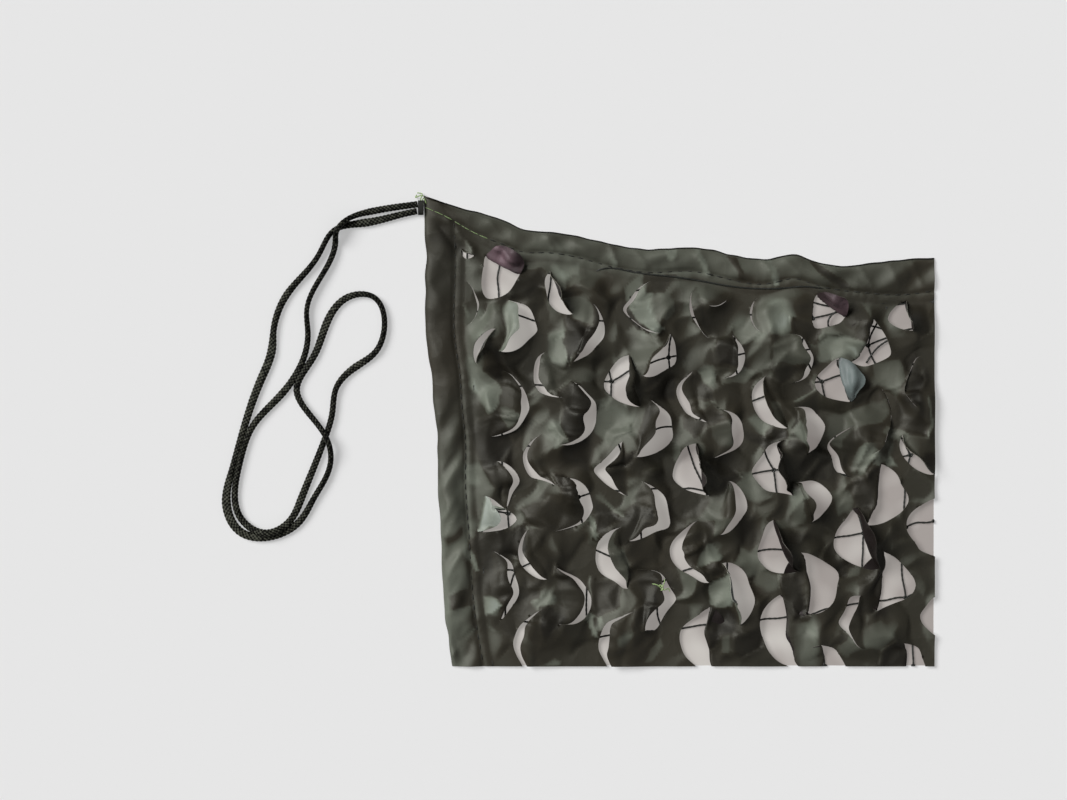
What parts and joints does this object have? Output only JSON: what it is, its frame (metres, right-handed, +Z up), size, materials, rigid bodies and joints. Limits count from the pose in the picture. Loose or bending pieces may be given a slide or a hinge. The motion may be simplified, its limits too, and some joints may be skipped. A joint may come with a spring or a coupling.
{
  "type": "camouflage net corner with tie cord",
  "caption": "Corner length of a camouflage net laid flat: hemmed dark cloth with curled leaf cuts over a string mesh, and a looped tie cord at the corner.",
  "frame": {"origin": "on the surface the net lies on, under the middle of the net without its tie cord", "axes": "+X along the top hem away from the corner, +Y towards the top hem, +Z up from the surface"},
  "size_m": [0.4753, 0.3134, 0.0295],
  "materials": {
    "cloth": "coated satin",
    "string": "twisted",
    "cord": "braided",
    "thread": "wound"
  },
  "bodies": {
    "root": {"net_cloth": "cloth", "backing_net": "string", "tie_cord": "cord", "cord_whipping": "thread"}
  },
  "joints": []
}
